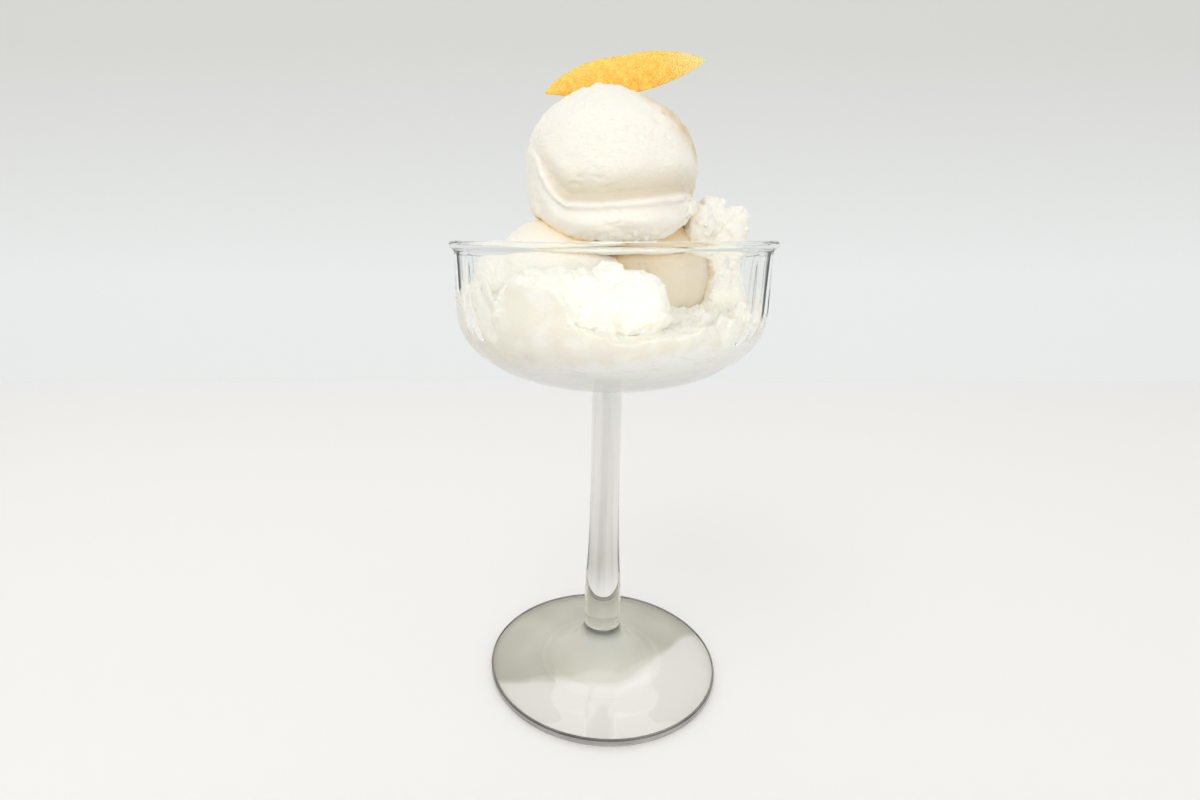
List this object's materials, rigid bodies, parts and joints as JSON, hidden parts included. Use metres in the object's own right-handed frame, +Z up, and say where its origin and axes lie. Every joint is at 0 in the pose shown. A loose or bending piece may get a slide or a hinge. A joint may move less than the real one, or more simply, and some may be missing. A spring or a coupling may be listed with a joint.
{
  "type": "sorbet cup",
  "caption": "Tall stemmed glass coupe filled with white sorbet scoops and broken pieces of sorbet, with a curved slice of orange peel standing on top.",
  "frame": {"origin": "centre of the foot's underside, on the glass's axis, at the height of the surface it stands on", "axes": "+Z up along the stem, -Y towards the front with the full view of the peel's zest, +X to the right"},
  "size_m": [0.1048, 0.1048, 0.2181],
  "materials": {
    "glass": "clear, fire-polished",
    "sorbet": "frozen, finely crystalline, moist",
    "peel": "waxy, finely dimpled zest"
  },
  "bodies": {
    "root": {"coupe": "glass", "scoop_top": "sorbet", "scoop_left": "sorbet", "scoop_right": "sorbet", "chunk_front": "sorbet", "chunk_right": "sorbet", "sorbet_bed": "sorbet", "orange_peel": "peel"}
  },
  "joints": []
}
